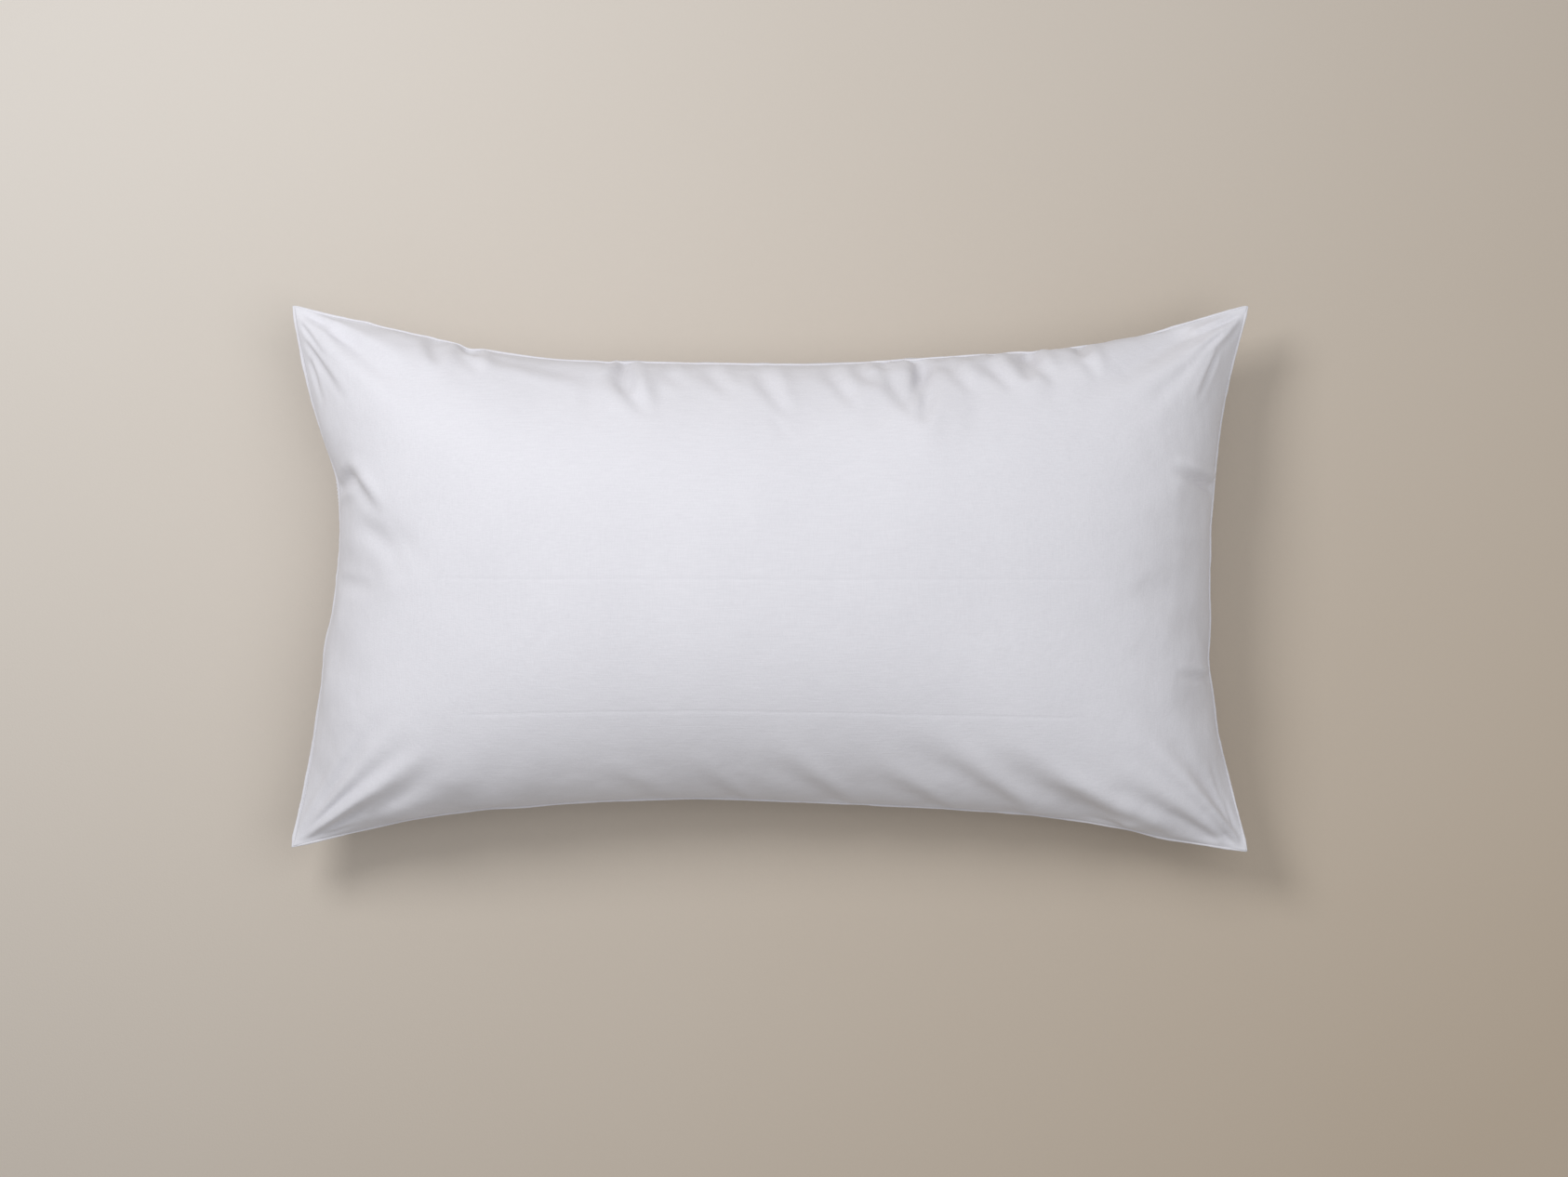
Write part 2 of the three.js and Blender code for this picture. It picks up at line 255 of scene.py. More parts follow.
# The front's creases that run in from its corner tips.
TIP_FOLDS = (
    (-0.431, 0.246, -0.380, 0.220, 0.0018, 0.0022, -0.0016, 0.3),
    (-0.430, 0.243, -0.350, 0.198, 0.0024, 0.005, -0.0024, 0.4),
    (-0.428, 0.232, -0.400, 0.196, 0.0018, 0.0024, -0.0014, 0.4),
    (-0.424, 0.216, -0.380, 0.156, 0.002, 0.004, -0.002, 0.4),
    (-0.420, 0.200, -0.403, 0.154, 0.0018, 0.0026, -0.0014, 0.4),
    (-0.402, 0.226, -0.308, 0.160, 0.006, 0.012, -0.004, 0.4),
    (0.430, 0.240, 0.372, 0.214, 0.0018, 0.0024, -0.0016, -0.4),
    (0.419, 0.227, 0.380, 0.198, 0.0018, 0.0026, -0.0018, -0.4),
    (0.430, 0.236, 0.352, 0.172, 0.0028, 0.008, 0.0024, 0.0),
    (0.408, 0.206, 0.386, 0.158, 0.002, 0.003, -0.0018, -0.4),
    (0.386, 0.226, 0.272, 0.160, 0.006, 0.014, -0.0044, -0.4),
    (0.412, 0.222, 0.330, 0.146, 0.003, 0.008, -0.0022, -0.3),
    (-0.430, -0.242, -0.286, -0.168, 0.0028, 0.010, -0.0022, 0.3),
    (-0.428, -0.240, -0.300, -0.152, 0.0026, 0.008, 0.0024, 0.0),
    (-0.429, -0.237, -0.312, -0.138, 0.0026, 0.008, -0.002, 0.2),
    (-0.426, -0.230, -0.338, -0.112, 0.0024, 0.007, -0.0022, 0.2),
    (-0.366, -0.218, -0.302, -0.182, 0.005, 0.008, -0.0022, 0.4),
    (-0.408, -0.236, -0.372, -0.224, 0.0018, 0.0022, -0.0014, 0.3),
    (0.433, -0.246, 0.316, -0.126, 0.003, 0.012, 0.0034, 0.0),
    (0.426, -0.244, 0.330, -0.150, 0.0026, 0.008, -0.0026, -0.3),
    (0.424, -0.230, 0.362, -0.140, 0.0026, 0.007, -0.001, 0.3),
    (0.410, -0.242, 0.306, -0.186, 0.005, 0.012, -0.0048, -0.4),
    (0.413, -0.205, 0.398, -0.160, 0.0018, 0.0026, -0.0007, 0.3),
    (0.424, -0.226, 0.410, -0.190, 0.0018, 0.0024, -0.001, 0.3),
)
CALMED_FOLDS = (*FOOT_FOLDS, *END_FOLDS, *TIP_FOLDS)  # those in the part that is calmed

# The back's rays out of each corner: degrees off the diagonal, start, length, widths, height.
CORNER_RAYS = (
    (-17, 0.012, 0.100, 0.003, 0.005, -0.0022),
    (-8, 0.010, 0.150, 0.003, 0.007, 0.0022),
    (0, 0.012, 0.200, 0.003, 0.012, -0.003),
    (8, 0.010, 0.120, 0.003, 0.006, 0.0018),
    (16, 0.014, 0.090, 0.003, 0.005, -0.0022),
)


# ---- The filled bag: two cloths sewn together round their edges, blown out by the fill


def flat_grid(nx, ny):
    """Each grid point's place on the flat cloth, from -1 to 1 along and across."""
    u = np.linspace(-1, 1, nx + 1)[:, None] + np.zeros(ny + 1)
    v = np.linspace(-1, 1, ny + 1)[None, :] + np.zeros((nx + 1, 1))
    return u, v


def upward(cloth):
    """Area-weighted normals of a grid, or of several at once."""
    return np.cross(np.gradient(cloth, axis=-3), np.gradient(cloth, axis=-2))


def outward(bag):
    """The same, turned to point out of the bag."""
    normal = upward(bag)
    normal[1] *= -1
    return normal


def unit(vectors):
    return vectors / (np.linalg.norm(vectors, axis=-1, keepdims=True) + 1e-12)


def smoothstep(x, low, high):
    t = np.clip((x - low) / (high - low), 0, 1)
    return t * t * (3 - 2 * t)


def loft_at(u, v):
    """The thickness that the fill wants at each place: full in the middle, none at the tips."""
    along = np.clip(1 - np.abs(u) ** LOFT_END_POWER, 0, 1) ** LOFT_ROUNDING
    across = np.clip(1 - np.abs(v) ** LOFT_SIDE_POWER, 0, 1) ** LOFT_ROUNDING
    from_tip = np.hypot((1 - np.abs(u)) * CUT_LENGTH / 2, (1 - np.abs(v)) * CUT_WIDTH / 2)
    return LOFT * along * across * smoothstep(from_tip, *EMPTY_TIP)


def sew(bag):
    """The two cloths share their edges."""
    for edge in (np.s_[:, 0], np.s_[:, -1], np.s_[:, :, 0], np.s_[:, :, -1]):
        bag[edge] = bag[edge].mean(axis=0, keepdims=True)


def pull(a, b, rest, stiffness):
    """Moves both ends of some threads towards their rest length; a slack one pushes back less."""
    d = b - a
    length = np.sqrt(np.einsum("...k,...k->...", d, d))[..., None]
    taut, slack = np.float32(stiffness / 2), np.float32(stiffness * SLACK_PUSH / 2)
    strength = np.where(length > rest, taut, slack)
    d *= (length - rest) / np.maximum(length, 1e-9) * strength
    a += d
    b -= d


def thread_ends(count):
    """Where every other thread of a row of points starts and ends, then where the rest do."""
    for first in (0, 1):
        stop = first + (count - first) // 2 * 2
        yield slice(first, stop, 2), slice(first + 1, stop, 2)


def relax(bag, rest_x, rest_y, diagonal):
    """One pass over the cloth's threads, in groups that share no point."""
    rows, columns = list(thread_ends(bag.shape[1])), list(thread_ends(bag.shape[2]))
    for near, far in rows:
        pull(bag[:, near], bag[:, far], rest_x[:, near], 1)
    for left, right in columns:
        pull(bag[:, :, left], bag[:, :, right], rest_y[:, :, left], 1)
    for near, far in rows:
        for left, right in columns:
            pull(bag[:, near, left], bag[:, far, right], diagonal, SHEAR_STIFFNESS)
            pull(bag[:, near, right], bag[:, far, left], diagonal, SHEAR_STIFFNESS)


def unbend(bag, stiffness):
    """The cloth's own resistance to sharp bends."""
    push = np.zeros_like(bag)
    for axis in (1, 2):
        line, pushed = bag.swapaxes(0, axis), push.swapaxes(0, axis)
        d = line[:-2] - 2 * line[1:-1] + line[2:]
        pushed[1:-1] += 2 * d
        pushed[:-2] -= d
        pushed[2:] -= d
    bag += np.float32(stiffness) * push


def gathered(count, length, evenly, places, share):
    """How much of each thread along a sewn edge is left once the edge is gathered."""
    middle = (np.arange(count) + 0.5) / count * length - length / 2
    spare = np.full(count, evenly)
    for place, cloth in places:
        peak = cloth / (GATHER_SPREAD * math.sqrt(math.pi))
        spare += peak * np.exp(-(((middle - place) / GATHER_SPREAD) ** 2))
    return (1 - spare * share)[:, None].astype(np.float32)


def thread_lengths(nx, ny, share):
    rest_x = np.full((1, nx, ny + 1, 1), CUT_LENGTH / nx, np.float32)
    rest_y = np.full((1, nx + 1, ny, 1), CUT_WIDTH / ny, np.float32)
    diagonal = np.float32(math.hypot(CUT_LENGTH / nx, CUT_WIDTH / ny))
    rest_x[0, :, -1] *= gathered(nx, CUT_LENGTH, GATHER_LONG, HEAD_GATHERS, share)
    rest_x[0, :, 0] *= gathered(nx, CUT_LENGTH, GATHER_LONG, (), share)
    rest_y[0, 0] *= gathered(ny, CUT_WIDTH, GATHER_END, OPEN_GATHERS, share)
    rest_y[0, -1] *= gathered(ny, CUT_WIDTH, GATHER_END, CLOSED_GATHERS, share)
    return rest_x, rest_y, diagonal


def settle(bag, gather_share, steps, swelling, bending, passes):
    """Lets the bag fill out and come to rest on the floor."""
    nx, ny = bag.shape[1] - 1, bag.shape[2] - 1
    wanted = loft_at(*flat_grid(nx, ny))
    rest_x, rest_y, diagonal = thread_lengths(nx, ny, gather_share)
    cell = CUT_LENGTH / nx * CUT_WIDTH / ny
    before = bag.copy()
    for _ in range(steps):
        speed = (bag - before) * np.float32(DAMPING)
        before = bag.copy()
        push = np.clip((wanted - (bag[0, ..., 2] - bag[1, ..., 2])) / LOFT, MOST_SUCTION, 1)
        force = outward(bag) / cell * push[None, ..., None] * swelling
        force[..., 2] -= WEIGHT * swelling
        bag = (bag + speed + force).astype(np.float32)
        for _ in range(passes):
            unbend(bag, bending)
            relax(bag, rest_x, rest_y, diagonal)
            sew(bag)
            on_floor = bag[..., 2:] < 0
            held = before[..., :2] + (bag[..., :2] - before[..., :2]) * np.float32(FLOOR_SLIP)
            bag[..., :2] = np.where(on_floor, held, bag[..., :2])
            bag[..., 2] = np.maximum(bag[..., 2], 0)
    return bag


def widened(rows):
    """One more row at each end, straight on."""
    return np.concatenate([2 * rows[:1] - rows[1:2], rows, 2 * rows[-1:] - rows[-2:-1]])


def halve(cloth, axis):
    """Puts a smooth new point between each two along one axis."""
    c = np.moveaxis(cloth, axis, 0)
    wide = widened(c)
    fine = np.empty((2 * len(c) - 1,) + c.shape[1:], c.dtype)
    fine[::2] = c
    fine[1::2] = (9 * (wide[1:-2] + wide[2:-1]) - wide[:-3] - wide[3:]) / 16
    return np.moveaxis(fine, 0, axis)


def band_noise(nx, ny, length_x, length_y, seed):
    """Even random waves of about the lengths asked for, in metres."""
    rng = np.random.default_rng(seed)
    kx = np.fft.fftfreq(nx + 1, CUT_LENGTH / nx)[:, None] * length_x
    ky = np.fft.rfftfreq(ny + 1, CUT_WIDTH / ny)[None] * length_y
    spectrum = np.fft.rfft2(rng.normal(size=(nx + 1, ny + 1)))
    spectrum *= np.exp(-(((np.hypot(kx, ky) - 1) / NOISE_SPREAD) ** 2))
    waves = np.fft.irfft2(spectrum, s=(nx + 1, ny + 1))
    return waves / waves.std()


def start_puckers(bag):
    """Small waves along the sewn edges, which the gathered seams then grow into puckers."""
    nx, ny = bag.shape[1] - 1, bag.shape[2] - 1
    u, v = flat_grid(nx, ny)
    from_side = (1 - np.abs(v)) * CUT_WIDTH / 2
    from_end = (1 - np.abs(u)) * CUT_LENGTH / 2
    normal = unit(outward(bag))
    for face in (0, 1):
        for distance, puckers in ((from_side, SIDE_PUCKERS), (from_end, END_PUCKERS)):
            along, across, seed, height = puckers
            near = np.exp(-((distance / PUCKER_REACH) ** 2))
            near *= np.clip(distance / PUCKER_START, 0, 1)
            waves = band_noise(nx, ny, along, across, seed + face) * near * height
            bag[face] += (normal[face] * waves[..., None]).astype(np.float32)


def press_fold(cloth, normal, fold, share=1.0):
    """One long groove or ridge that fades at its ends, with a bank of cloth on either side."""
    x0, y0, x1, y1, width0, width1, height, lean = fold
    length = math.hypot(x1 - x0, y1 - y0)
    ex, ey = (x1 - x0) / length, (y1 - y0) / length
    dx, dy = cloth[..., 0] - x0, cloth[..., 1] - y0
    along = np.clip((dx * ex + dy * ey) / length, 0, 1)
    across = (dy * ex - dx * ey) / (width0 + (width1 - width0) * along)
    ripple = np.exp(-(across**2))
    for bank in (1, -1):
        ripple -= BANK_SHARE * (1 + lean * bank) * np.exp(-((across - bank * BANK_PLACE) ** 2))
    size = np.sin(math.pi * along**FOLD_FADE) * height * share
    cloth += (normal * (ripple * size)[..., None]).astype(np.float32)


def corner_folds():
    """The rays of all four corners, as folds."""
    folds = []
    for sx in (-1, 1):
        for sy in (-1, 1):
            for off, start, length, width0, width1, height in CORNER_RAYS:
                turn = math.atan2(-sy, -sx * TIP_SLOPE) + math.radians(off) * sx * sy
                ex, ey = math.cos(turn), math.sin(turn)
                x, y = sx * HALF_LENGTH + start * ex, sy * HALF_WIDTH + start * ey
                folds.append((x, y, x + length * ex, y + length * ey, width0, width1, height, 0.0))
    return folds


def press_folds(bag):
    normal = unit(outward(bag))
    for fold in (*HEAD_FOLDS, *CALMED_FOLDS):
        press_fold(bag[0], normal[0], fold)
    for fold in corner_folds():
        press_fold(bag[1], normal[1], fold, BACK_SHARE)


def fill_bag():
    """The bag at rest: [front or back, along, across, xyz]."""
    nx, ny = FIRST_CELLS
    u, v = flat_grid(nx, ny)
    bag = np.zeros((2, nx + 1, ny + 1, 3), np.float32)
    bag[..., 0] = u * CUT_LENGTH / 2
    bag[..., 1] = v * CUT_WIDTH / 2
    start = START_BULGE * (1 - u**2) * (1 - v**2)
    bag[0, ..., 2] = START_HEIGHT + start
    bag[1, ..., 2] = START_HEIGHT - start
    bag[..., 2] += np.random.default_rng(4).normal(0, START_NOISE, bag.shape[:-1])
    sew(bag)
    levels = LEVELS
    for level, (settings, gather_share) in enumerate(zip(levels, GATHERED_BY_LEVEL)):
        if level:
            bag = halve(halve(bag, 1), 2)
        if level == PUCKER_LEVEL:
            start_puckers(bag)
        if level == FOLD_LEVEL:
            press_folds(bag)
        bag = settle(bag, gather_share, *settings)
    return bag


# ---- Surfaces taken from the bag


def round_off(line, times):
    for _ in range(times):
        line[1:-1] = (line[:-2] + 2 * line[1:-1] + line[2:]) / 4
    return line


def edge_curve(points, x):
    """A few outline points joined by straight lines, with the joins rounded off."""
    return round_off(np.interp(x, *np.array(points).T), OUTLINE_ROUNDING)


def edge_shift(points, place, now):
    """How far to move an edge: only the slow part, so that its small waves stay."""
    return round_off(edge_curve(points, place) - now, WAVE_LENGTH)


def fit_outline(bag):
    """Moves the cloth gently in plan, so that its edges lie on the outline."""
    nx, ny = bag.shape[1] - 1, bag.shape[2] - 1
    u, v = flat_grid(nx, ny)
    rim = bag[0]
    head = edge_shift(HEAD_LINE, rim[:, -1, 0], rim[:, -1, 1])
    foot = edge_shift(FOOT_LINE, rim[:, 0, 0], rim[:, 0, 1])
    opened = edge_shift(OPEN_LINE, rim[0, :, 1], rim[0, :, 0])
    closed = edge_shift(CLOSED_LINE, rim[-1, :, 1], rim[-1, :, 0])
    near_head, near_foot = ((1 + v) / 2) ** SIDE_EASE, ((1 - v) / 2) ** SIDE_EASE
    near_open, near_closed = ((1 - u) / 2) ** END_EASE, ((1 + u) / 2) ** END_EASE
    bag[..., 1] += head[:, None] * near_head + foot[:, None] * near_foot
    bag[..., 0] += opened[None] * near_open + closed[None] * near_closed
    apart = PANEL_GAP * np.array([1, -1])[:, None, None]
    bag[..., 2] += apart - bag[1, ..., 2].min() + PANEL_GAP


def calm(bag):
    """Smooths the cloth beside the two ends and the foot, where the seams pucker less."""
    u, v = flat_grid(bag.shape[1] - 1, bag.shape[2] - 1)
    near_end = 0.5 * smoothstep(np.abs(u), *CALM_ENDS)[None, ..., None]
    near_foot = 0.5 * smoothstep(-v, *CALM_FOOT)[None, ..., None]
    for _ in range(CALMING):
        across = (bag[:, :, :-2] + bag[:, :, 2:]) / 2 - bag[:, :, 1:-1]
        bag[:, :, 1:-1] += near_end[:, :, 1:-1] * across
        along = (bag[:, :-2] + bag[:, 2:]) / 2 - bag[:, 1:-1]
        bag[:, 1:-1] += near_foot[:, 1:-1] * along


def cubic(c, t, axis):
    """Smooth values of a grid at fractional places along one axis."""
    c = np.moveaxis(c, axis, 0)
    n = len(c)
    i = np.clip(np.floor(t).astype(int), 0, n - 2)
    f = (t - i).reshape((-1,) + (1,) * (c.ndim - 1))
    wide = widened(c)
    p0, p1, p2, p3 = wide[i], wide[i + 1], wide[i + 2], wide[i + 3]
    curve = 2 * p0 - 5 * p1 + 4 * p2 - p3 + f * (3 * (p1 - p2) + p3 - p0)
    value = p1 + f * 0.5 * (p2 - p0 + f * curve)
    return np.moveaxis(value, 0, axis)


def surface_normal(surface, down):
    return unit(upward(surface)) * (-1 if down else 1)


def sample(surface, us, vs):
    """The surface on another grid of flat places, both lists from -1 to 1."""
    nx, ny = surface.shape[0] - 1, surface.shape[1] - 1
    along = cubic(surface, (np.asarray(us) + 1) / 2 * nx, 0)
    return cubic(along, (np.asarray(vs) + 1) / 2 * ny, 1)


def graded(count, creases=()):
    """Places from -1 to 1, closer together near the ends, with a tight group at each crease."""
    t = np.linspace(-1, 1, count + 1)
    places = t * (1 + EDGE_GRADING) - EDGE_GRADING * t**3
    for crease in creases:
        nearest = np.argmin(np.abs(places - crease))
        places[nearest] = crease
        places = np.append(places, (crease - CREASE_WIDTH, crease + CREASE_WIDTH))
    return np.sort(places)


def lining(surface, middle, down, depth):
    """The surface moved in along its normals, but never past the middle of the bag."""
    wall = surface - surface_normal(surface, down) * depth
    side = -1 if down else 1
    clear = middle[..., 2] + side * MIDDLE_GAP
    limit = np.minimum if down else np.maximum
    wall[..., 2] = limit(wall[..., 2], clear)
    return wall


def blur(field, times):
    for _ in range(times):
        padded = np.pad(field, 1, mode="edge")
        around = padded[:-2, 1:-1] + padded[2:, 1:-1] + padded[1:-1, :-2] + padded[1:-1, 2:]
        field = around / 8 + field / 2
    return field


def shrink(field, times):
    """Lowers every value to the lowest nearby."""
    for _ in range(times):
        padded = np.pad(field, 1, mode="edge")
        rows = np.minimum(np.minimum(padded[:-2, 1:-1], padded[2:, 1:-1]), field)
        field = np.minimum(np.minimum(padded[1:-1, :-2], padded[1:-1, 2:]), rows)
    return field


# ---- Meshes


def add_object(name, data):
    thing = bpy.data.objects.new(name, data)
    bpy.context.scene.collection.objects.link(thing)
    return thing


def new_piece(name, points, faces, material, slot, *nodes):
    mesh = bpy.data.meshes.new(name)
    mesh.from_pydata(np.asarray(points, float).reshape(-1, 3).tolist(), [], faces)
    mesh.materials.append(material)
    mesh.polygons.foreach_set("use_smooth", [True] * len(mesh.polygons))
    mesh.update()
    piece = add_object(name, mesh)
    if nodes:
        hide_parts(*nodes)
    return piece


def grid_faces(rows, columns, offset, flip):
    ids = np.arange(rows * columns).reshape(rows, columns) + offset
    faces = np.stack([ids[:-1, :-1], ids[1:, :-1], ids[1:, 1:], ids[:-1, 1:]], -1).reshape(-1, 4)
    return faces[:, ::-1] if flip else faces


def once_round(grid):
    return np.concatenate([grid[:-1, 0], grid[-1, :-1], grid[:0:-1, -1], grid[0, :0:-1]])


def rim_faces(rows, columns):
    """The strip that closes the edge between two grids stored one after the other."""
    ring = once_round(np.arange(rows * columns).reshape(rows, columns))
    following = np.roll(ring, -1)
    return np.stack([following, ring, ring + rows * columns, following + rows * columns], -1)


def shell(name, outer, inner, flip, material, slot, *nodes):
    """A closed thin solid between two grids; flip when the outer grid's normal points down."""
    rows, columns = outer.shape[:2]
    faces = np.concatenate(
        [
            grid_faces(rows, columns, 0, flip),
            grid_faces(rows, columns, rows * columns, not flip),
            rim_faces(rows, columns)[:, :: -1 if flip else 1],
        ]
    )
    points = np.concatenate([outer.reshape(-1, 3), inner.reshape(-1, 3)])
    return new_piece(name, points, faces.tolist(), material, slot, *nodes)


def thin_shell(name, surface, thickness, flip, material, slot, *nodes):
    """A closed sheet of even thickness, grown from a grid along its normals."""
    normal = surface_normal(surface, flip)
    return shell(name, surface, surface - normal * thickness, flip, material, slot, *nodes)


def tube(path, up, half_width, half_height, closed=False, sides=12):
    """Points and faces of a flattened rope along a path; the sizes may change along it."""
    ahead = np.roll(path, -1, 0) - np.roll(path, 1, 0) if closed else np.gradient(path, axis=0)
    tangent = unit(ahead)
    side = unit(np.cross(tangent, up))
    top = np.cross(side, tangent)
    turn = np.arange(sides) / sides * 2 * math.pi
    wide = np.asarray(half_width).reshape(-1, 1, 1) * np.cos(turn)[None, :, None] * side[:, None]
    high = np.asarray(half_height).reshape(-1, 1, 1) * np.sin(turn)[None, :, None] * top[:, None]
    points = path[:, None] + wide + high
    n = len(path)
    ids = np.arange(n * sides).reshape(n, sides)
    after = np.roll(ids, -1, 0) if closed else ids[1:]
    here = ids if closed else ids[:-1]
    faces = np.stack([here, after, np.roll(after, -1, 1), np.roll(here, -1, 1)], -1)
    faces = faces.reshape(-1, 4).tolist()
    if not closed:
        faces += [ids[0].tolist(), ids[-1, ::-1].tolist()]
    return points.reshape(-1, 3), faces


def walk(path):
    """How far along the path each of its points lies."""
    return np.concatenate([[0], np.cumsum(np.linalg.norm(np.diff(path, axis=0), axis=1))])


def read(rows, walked, places):
    """Rows known at the distances walked, read at other distances."""
    return np.stack([np.interp(places, walked, column) for column in rows.T], -1)


def resample(path, count):
    """The same line with its points evenly spaced."""
    walked = walk(path)
    return read(path, walked, np.linspace(0, walked[-1], count))


def stitches(name, path, up, material, node):
    """A row of separate stitches along a line, each a short rounded piece of thread."""
    walked = walk(path)
    count = int(walked[-1] / STITCH_PITCH)
    points, faces = [], []
    for k in range(count):
        start = (k + 0.5) * STITCH_PITCH - STITCH_LENGTH / 2
        line = read(path, walked, start + STITCH_STEPS * STITCH_LENGTH)
        normal = read(up, walked, start)
        line += normal * (STITCH_ARCH * STITCH_RADIUS)[:, None]
        size = STITCH_BODY * STITCH_RADIUS
        ring, quads = tube(line, normal, size, size, sides=6)
        first = len(points) * len(ring)
        faces += [[i + first for i in face] for face in quads]
        points.append(ring)
    return new_piece(name, np.concatenate(points), faces, material, "sewing_thread", node)


# ---- Materials


class Look:
    """A procedural material under construction: nodes are added and joined as they are made."""

    def __init__(self, name, specular=0.3, sheen=0.0):
        self.material = bpy.data.materials.new(name)
        self.material.use_nodes = True
        self.tree = self.material.node_tree
        self.shader = self.tree.nodes["Principled BSDF"]
        self.shader.inputs["Specular IOR Level"].default_value = specular
        self.shader.inputs["Sheen Weight"].default_value = sheen
        self.place = self.node("ShaderNodeTexCoord").outputs["Object"]
        self.normal = None

    def node(self, kind, **sockets):
        node = self.tree.nodes.new(kind)
        for name, value in sockets.items():
            self.set(node.inputs[name.replace("_", " ")], value)
        return node

    def set(self, socket, value):
        if isinstance(value, bpy.types.NodeSocket):
            self.tree.links.new(value, socket)
        else:
            socket.default_value = value

    def stretched(self, x, y, z, turn=0.0):
        turned = (0, 0, turn)
        node = self.node("ShaderNodeMapping", Vector=self.place, Scale=(x, y, z), Rotation=turned)
        return node.outputs["Vector"]

    def noise(self, place, scale=1.0, detail=2.0, roughness=0.5):
        node = self.node("ShaderNodeTexNoise", Vector=place, Scale=scale, Detail=detail)
        self.set(node.inputs["Roughness"], roughness)
        return node.outputs["Fac"]

    def waves(self, place, scale, distortion=0.0, direction="X"):
        node = self.node("ShaderNodeTexWave", Vector=place, Scale=scale, Distortion=distortion)
        node.bands_direction = direction
        return node.outputs["Fac"]

    def math(self, operation, a, b):
        node = self.node("ShaderNodeMath")
        node.operation = operation
        self.set(node.inputs[0], a)
        self.set(node.inputs[1], b)
        return node.outputs["Value"]

    def mix(self, a, a_share, b, b_share):
        """The sum of two values, each times its share."""
        a, b = self.math("MULTIPLY", a, a_share), self.math("MULTIPLY", b, b_share)
        return self.math("ADD", a, b)

    def between(self, value, low, high):
        """A value from 0 to 1 stretched to run from low to high."""
        node = self.node("ShaderNodeMapRange", Value=value, To_Min=low, To_Max=high)
        return node.outputs["Result"]

    def colours(self, value, *stops):
        """A colour ramp from (place, colour) stops."""
        node = self.node("ShaderNodeValToRGB", Fac=value)
        ramp = node.color_ramp.elements
        while len(ramp) < len(stops):
            ramp.new(0.5)
        for element, (place, colour) in zip(ramp, stops):
            element.position = place
            element.color = (*colour, 1)
        return node.outputs["Color"]

    def bump(self, height, distance, strength=1.0):
        node = self.node("ShaderNodeBump", Height=height, Distance=distance, Strength=strength)
        if self.normal:
            self.set(node.inputs["Normal"], self.normal)
        self.normal = node.outputs["Normal"]

    def finish(self, colour, roughness):
        self.set(self.shader.inputs["Base Color"], colour)
        self.set(self.shader.inputs["Roughness"], roughness)
        self.set(self.shader.inputs["Normal"], self.normal)
        return self.material


def percale(name, dark, light, crinkle):
    """Fine plain-weave cotton: threads of uneven thickness both ways, softly crinkled."""
    look = Look(name, specular=0.25, sheen=0.08)
    warp = look.noise(look.stretched(1100, 70, 1100), detail=1)
    weft = look.noise(look.stretched(60, 1000, 1000), detail=1)
    threads = look.mix(warp, 0.45, weft, 0.55)
    washed = look.noise(look.place, scale=9, detail=3)
    creased = look.noise(look.place, scale=55, detail=5, roughness=0.6)
    tone = look.mix(threads, 0.6, washed, 0.4)
    colour = look.colours(tone, (0.34, dark), (0.66, light))
    look.bump(creased, crinkle)
    look.bump(threads, 0.00018)
    return look.finish(colour, look.between(threads, 0.72, 0.88))


def ticking(name):
    """Down-proof twill: fine diagonal ribs and a faint printed-on stripe of thicker threads."""
    look = Look(name, specular=0.25, sheen=0.05)
    ribs = look.waves(look.stretched(1, 1, 1, turn=0.9), scale=260, distortion=1.5)
    stripe = look.waves(look.place, scale=12, direction="Y")
    soft = look.noise(look.place, scale=40, detail=4)
    tone = look.mix(ribs, 0.5, stripe, 0.5)
    colour = look.colours(tone, (0.0, (0.74, 0.73, 0.70)), (1.0, (0.84, 0.83, 0.80)))
    look.bump(soft, 0.0006)
    look.bump(ribs, 0.0001)
    return look.finish(colour, look.between(soft, 0.7, 0.9))


def thread(name):
    """Sewing thread: two plies twisted round each other."""
    look = Look(name, specular=0.4, sheen=0.1)
    twist = look.waves(look.stretched(1, 1, 1, turn=0.6), scale=480, distortion=0.5)
    fuzz = look.noise(look.place, scale=700, detail=2)
    colour = look.colours(twist, (0.1, (0.72, 0.72, 0.75)), (0.8, (0.88, 0.88, 0.9)))
    look.bump(twist, 0.0001)
    look.bump(fuzz, 0.00005)
    return look.finish(colour, look.between(fuzz, 0.5, 0.75))


def satin(name):
    """Blank label tape: long shiny floats across it, and a woven edge."""
    look = Look(name, specular=0.5, sheen=0.15)
    floats = look.noise(look.stretched(40, 1200, 1200), detail=1)
    soft = look.noise(look.place, scale=30, detail=3)
    colour = look.colours(floats, (0.3, (0.80, 0.80, 0.79)), (0.7, (0.90, 0.90, 0.89)))
    look.bump(soft, 0.0005)
    look.bump(floats, 0.00008)
    return look.finish(colour, look.between(floats, 0.32, 0.5))


def fibre(name):
    """Loose polyester fibre: tangled strands in soft clumps."""
    look = Look(name, specular=0.3, sheen=0.3)
    clumps = look.noise(look.place, scale=28, detail=5, roughness=0.65)
    strands = look.noise(look.stretched(900, 120, 500, turn=0.5), detail=3, roughness=0.7)
    both = look.mix(clumps, 0.6, strands, 0.4)
    colour = look.colours(both, (0.3, (0.78, 0.78, 0.78)), (0.7, (0.92, 0.92, 0.92)))
    look.bump(clumps, 0.004)
    look.bump(strands, 0.0006)
    return look.finish(colour, look.between(strands, 0.8, 1.0))


